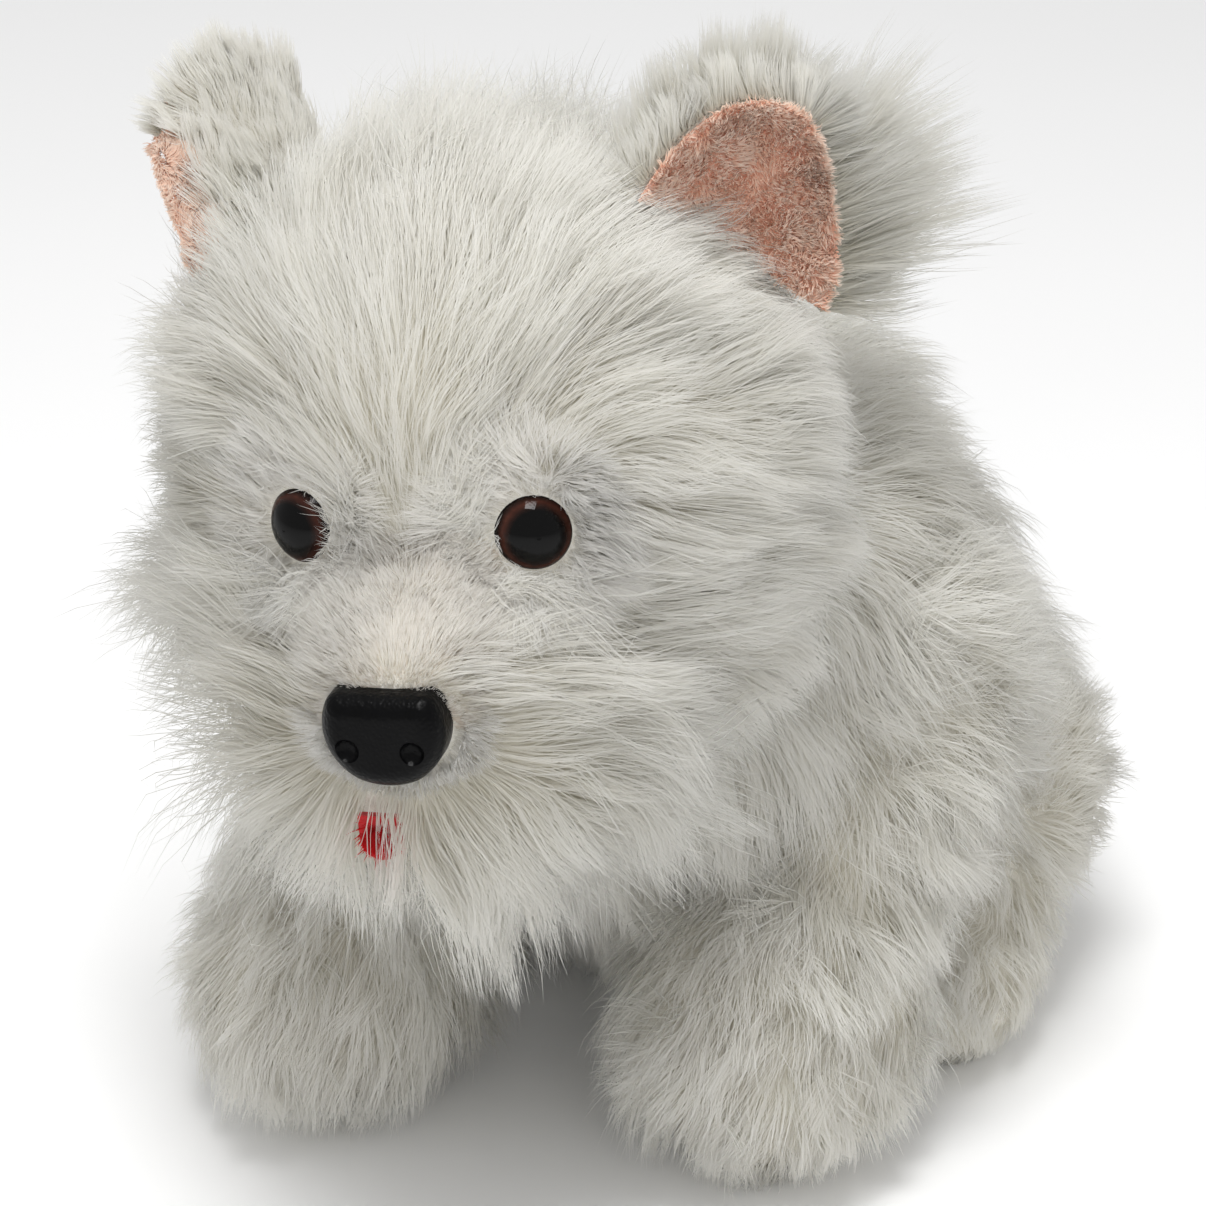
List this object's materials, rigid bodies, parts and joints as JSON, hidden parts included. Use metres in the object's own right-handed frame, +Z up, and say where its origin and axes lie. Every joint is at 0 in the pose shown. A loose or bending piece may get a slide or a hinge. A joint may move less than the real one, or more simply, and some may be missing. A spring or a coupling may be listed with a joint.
{
  "type": "plush dog",
  "caption": "Seated soft toy dog of long white fur fabric over fibre filling, with plastic eyes and nose, lined ears and sewn-on limbs.",
  "frame": {"origin": "centre of the flat underside of the seat", "axes": "+Z up, the dog faces -Y, its left side is +X"},
  "size_m": [0.1541, 0.2842, 0.2386],
  "materials": {
    "white_fur": "matte",
    "short_pile": "matte",
    "fibre_filling": "matte",
    "ear_fleece": "matte",
    "tongue_felt": "matte",
    "thread": "matte",
    "nose_black": "satin",
    "eye_black": "gloss",
    "eye_brown": "gloss",
    "washer_plastic": "matte"
  },
  "bodies": {
    "torso": {"left_back_panel": "white_fur", "right_back_panel": "white_fur", "belly_panel": "white_fur", "seat_panel": "white_fur", "torso_stuffing": "fibre_filling"},
    "neck": {"neck_stuffing": "fibre_filling", "neck_seam": "thread"},
    "head": {"forehead_gusset": "white_fur", "left_cheek_panel": "white_fur", "right_cheek_panel": "white_fur", "muzzle_panel": "short_pile", "chin_panel": "white_fur", "head_stuffing": "fibre_filling", "left_eye_dome": "eye_brown", "left_eye_post": "eye_black", "left_eye_washer": "washer_plastic", "right_eye_dome": "eye_brown", "right_eye_post": "eye_black", "right_eye_washer": "washer_plastic", "nose": "nose_black", "nose_washer": "washer_plastic", "tongue": "tongue_felt"},
    "left_ear": {"left_ear_back": "white_fur", "left_ear_lining": "ear_fleece"},
    "right_ear": {"right_ear_back": "white_fur", "right_ear_lining": "ear_fleece"},
    "tail": {"tail_cover": "white_fur", "tail_stuffing": "fibre_filling"},
    "left_foreleg": {"left_foreleg_outer_panel": "white_fur", "left_foreleg_inner_panel": "white_fur", "left_foreleg_stuffing": "fibre_filling"},
    "left_hind_leg": {"left_hind_leg_outer_panel": "white_fur", "left_hind_leg_inner_panel": "white_fur", "left_hind_leg_stuffing": "fibre_filling"},
    "right_foreleg": {"right_foreleg_outer_panel": "white_fur", "right_foreleg_inner_panel": "white_fur", "right_foreleg_stuffing": "fibre_filling"},
    "right_hind_leg": {"right_hind_leg_outer_panel": "white_fur", "right_hind_leg_inner_panel": "white_fur", "right_hind_leg_stuffing": "fibre_filling"}
  },
  "joints": [
    {"name": "head_turn", "type": "hinge", "parent": "torso", "child": "neck", "pos_m": [-0.003, -0.112, 0.157], "axis": [0, 0, 1], "range_deg": [-42, 14], "stiffness_Nm_per_rad": 0.6},
    {"name": "head_nod", "type": "hinge", "parent": "neck", "child": "head", "pos_m": [-0.003, -0.112, 0.157], "axis": [0.9681, 0.2504, 0], "range_deg": [-16, 11], "stiffness_Nm_per_rad": 0.6},
    {"name": "left_ear_flop", "type": "hinge", "parent": "head", "child": "left_ear", "pos_m": [0.03319, -0.09477, 0.20298], "axis": [0.3908, 0.7176, -0.5765], "range_deg": [-18, 20], "stiffness_Nm_per_rad": 0.03},
    {"name": "right_ear_flop", "type": "hinge", "parent": "head", "child": "right_ear", "pos_m": [-0.05016, -0.11633, 0.19545], "axis": [-0.1409, -0.9497, -0.2797], "range_deg": [-18, 20], "stiffness_Nm_per_rad": 0.03},
    {"name": "left_foreleg_swing", "type": "hinge", "parent": "torso", "child": "left_foreleg", "pos_m": [0.05, -0.042, 0.097], "axis": [1, 0, 0], "range_deg": [-35, 3], "stiffness_Nm_per_rad": 0.3},
    {"name": "right_foreleg_swing", "type": "hinge", "parent": "torso", "child": "right_foreleg", "pos_m": [-0.05, -0.042, 0.097], "axis": [1, 0, 0], "range_deg": [-20, 14], "stiffness_Nm_per_rad": 0.3},
    {"name": "left_hind_leg_swing", "type": "hinge", "parent": "torso", "child": "left_hind_leg", "pos_m": [0.044, 0, 0.046], "axis": [1, 0, 0], "range_deg": [-5, 30], "stiffness_Nm_per_rad": 0.3},
    {"name": "right_hind_leg_swing", "type": "hinge", "parent": "torso", "child": "right_hind_leg", "pos_m": [-0.044, 0, 0.046], "axis": [1, 0, 0], "range_deg": [-5, 30], "stiffness_Nm_per_rad": 0.3},
    {"name": "tail_wag", "type": "hinge", "parent": "torso", "child": "tail", "pos_m": [0, 0.06065, 0.05889], "axis": [0, 0, 1], "range_deg": [-30, 30], "stiffness_Nm_per_rad": 0.05}
  ]
}
